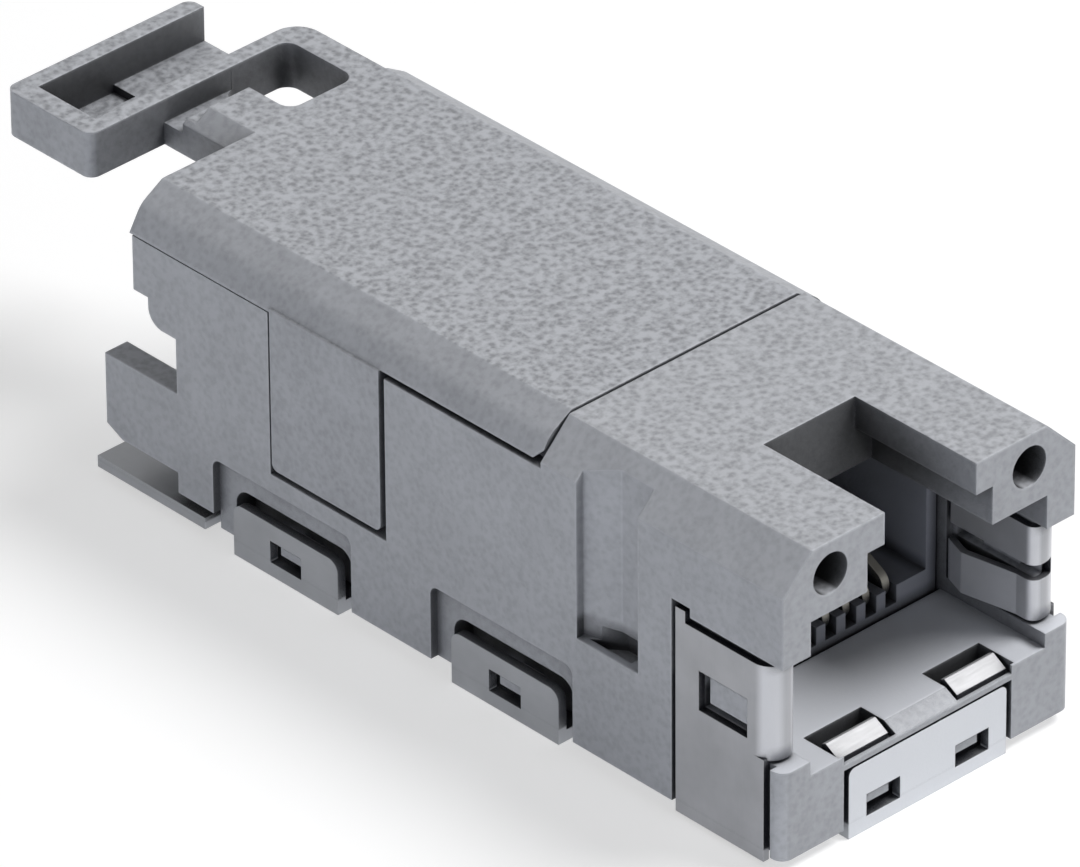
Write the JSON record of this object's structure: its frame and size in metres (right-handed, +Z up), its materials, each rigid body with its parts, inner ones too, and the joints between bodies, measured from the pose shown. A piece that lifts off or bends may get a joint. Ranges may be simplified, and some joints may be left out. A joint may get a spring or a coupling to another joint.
{
  "type": "shielded network jack module",
  "caption": "Shielded die-cast snap-in network jack with a front plug opening, press-on lid, insulation-displacement terminals and a rear cable strain relief.",
  "frame": {"origin": "middle of the length and width, on the underside of the bottom plate", "axes": "+Z up through the lid, +Y from the plug opening towards the cable end, X across the width"},
  "size_m": [0.0148, 0.0434, 0.0133],
  "materials": {
    "die_cast_housing": "nickel-plated zinc casting, satin, lightly speckled",
    "die_cast_cover": "nickel-plated zinc casting, fine spark-eroded grain",
    "steel_plate": "nickel-plated stamped steel, semi-bright",
    "spring_steel": "bright stainless spring strip",
    "black_plastic": "black moulded plastic",
    "white_plastic": "natural moulded plastic",
    "clear_foil": "amber insulating film",
    "green_laminate": "green solder mask on glass laminate",
    "gold_plate": "gold-plated contact wire",
    "tin_plate": "tin-plated bronze"
  },
  "bodies": {
    "housing": {"main_housing": "die_cast_housing", "bottom_plate": "steel_plate", "shield_spring_left": "spring_steel", "shield_spring_right": "spring_steel", "ground_spring_left": "spring_steel", "ground_spring_right": "spring_steel", "contact_insert": "black_plastic", "contact_wire_1": "gold_plate", "contact_wire_2": "gold_plate", "contact_wire_3": "gold_plate", "contact_wire_4": "gold_plate", "contact_wire_5": "gold_plate", "contact_wire_6": "gold_plate", "contact_wire_7": "gold_plate", "contact_wire_8": "gold_plate", "insulating_foil": "clear_foil", "circuit_board": "green_laminate", "terminal_block": "white_plastic", "idc_terminal_1": "tin_plate", "idc_terminal_2": "tin_plate", "idc_terminal_3": "tin_plate", "idc_terminal_4": "tin_plate", "idc_terminal_5": "tin_plate", "idc_terminal_6": "tin_plate", "idc_terminal_7": "tin_plate", "idc_terminal_8": "tin_plate"},
    "cover": {"top_cover": "die_cast_cover", "wire_manager": "white_plastic", "cable_shield_spring": "spring_steel"}
  },
  "joints": [
    {"name": "cover_press", "type": "slide", "parent": "housing", "child": "cover", "axis": [0, 0, 1], "range_m": [0, 0.009]}
  ]
}
